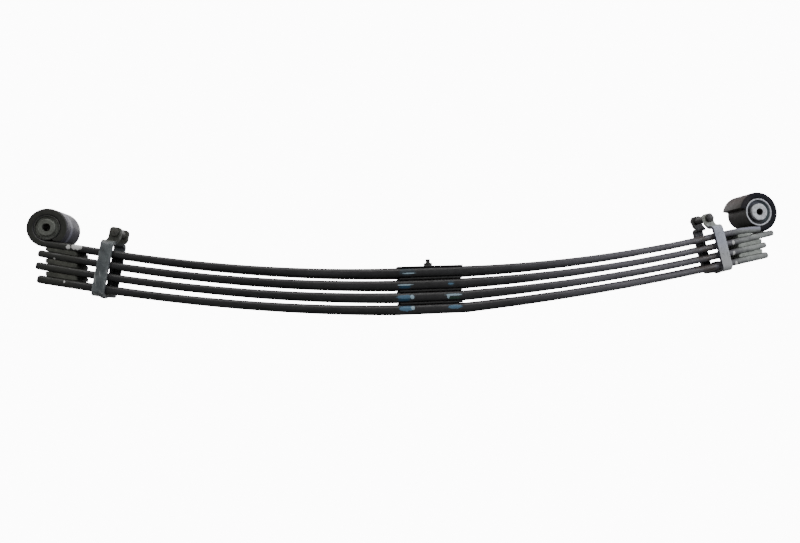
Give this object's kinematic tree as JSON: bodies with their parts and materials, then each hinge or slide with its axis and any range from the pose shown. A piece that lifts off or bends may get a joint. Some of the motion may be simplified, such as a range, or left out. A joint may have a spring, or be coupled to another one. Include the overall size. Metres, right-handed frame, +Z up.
{
  "type": "leaf spring",
  "caption": "Parabolic truck leaf spring pack with rolled eyes, rubber bushes, wear pads, centre bolt and bolted rebound clips; it flexes and its bushes twist.",
  "frame": {"origin": "middle of the axle seat: the flush face of the centre bolt's head, in the plane of the lowest leaf's underside", "axes": "+X along the spring towards the rear, larger eye; +Y across its width; +Z up, the way the eyes turn"},
  "size_m": [1.8995, 0.093, 0.2897],
  "materials": {
    "leaf_paint": "worn satin black chassis paint, dusty",
    "clip_paint": "scuffed grey-black paint",
    "bolt_steel": "dark oiled steel",
    "pad_steel": "matt, dusty olive grey",
    "sleeve_steel": "dull phosphated steel",
    "bush_rubber": "matt black rubber"
  },
  "bodies": {
    "root": {"leaf_1": "leaf_paint", "leaf_2": "leaf_paint", "leaf_3": "leaf_paint", "leaf_4": "leaf_paint", "centre_spacer_1": "pad_steel", "centre_spacer_2": "pad_steel", "centre_spacer_3": "pad_steel", "top_plate": "leaf_paint", "centre_bolt": "bolt_steel", "centre_nut": "bolt_steel"},
    "front_end": {"front_pad_1": "pad_steel", "front_pad_2": "pad_steel", "front_pad_3": "pad_steel", "front_bush_outer_sleeve": "sleeve_steel", "front_bush_rubber": "bush_rubber", "front_clip_strap": "clip_paint", "front_clip_bolt": "bolt_steel", "front_clip_nut": "bolt_steel", "front_clip_rivet": "bolt_steel"},
    "front_bush_core": {"front_bush_inner_sleeve": "sleeve_steel"},
    "front_clip_roller": {"front_clip_tube": "bolt_steel"},
    "rear_end": {"rear_pad_1": "pad_steel", "rear_pad_2": "pad_steel", "rear_pad_3": "pad_steel", "rear_bush_outer_sleeve": "sleeve_steel", "rear_bush_rubber": "bush_rubber", "rear_clip_strap": "clip_paint", "rear_clip_bolt": "bolt_steel", "rear_clip_nut": "bolt_steel", "rear_clip_rivet": "bolt_steel"},
    "rear_bush_core": {"rear_bush_inner_sleeve": "sleeve_steel"},
    "rear_clip_roller": {"rear_clip_tube": "bolt_steel"}
  },
  "joints": [
    {"name": "front_flex", "type": "hinge", "parent": "root", "child": "front_end", "pos_m": [-0.38, 0, 0.07561], "axis": [0, -1, 0], "range_deg": [-1.5, 9.5], "stiffness_Nm_per_rad": 30000, "deforming": ["leaf_1", "leaf_2", "leaf_3", "leaf_4"]},
    {"name": "front_bush_twist", "type": "hinge", "parent": "front_end", "child": "front_bush_core", "pos_m": [-0.9, 0, 0.23832], "axis": [0, 1, 0], "range_deg": [-20, 20], "stiffness_Nm_per_rad": 250},
    {"name": "front_clip_tube_roll", "type": "hinge", "parent": "front_end", "child": "front_clip_roller", "pos_m": [-0.75102, 0, 0.22439], "axis": [0, 1, 0], "continuous": true},
    {"name": "rear_flex", "type": "hinge", "parent": "root", "child": "rear_end", "pos_m": [0.38, 0, 0.07908], "axis": [0, 1, 0], "range_deg": [-1.5, 9.5], "stiffness_Nm_per_rad": 30000, "deforming": ["leaf_1", "leaf_2", "leaf_3", "leaf_4"]},
    {"name": "rear_bush_twist", "type": "hinge", "parent": "rear_end", "child": "rear_bush_core", "pos_m": [0.9, 0, 0.23588], "axis": [0, 1, 0], "range_deg": [-20, 20], "stiffness_Nm_per_rad": 250},
    {"name": "rear_clip_tube_roll", "type": "hinge", "parent": "rear_end", "child": "rear_clip_roller", "pos_m": [0.75921, 0, 0.22359], "axis": [0, 1, 0], "continuous": true}
  ],
  "couplings": [
    {"joint": "rear_flex", "follows": "front_flex", "ratio": 1}
  ]
}
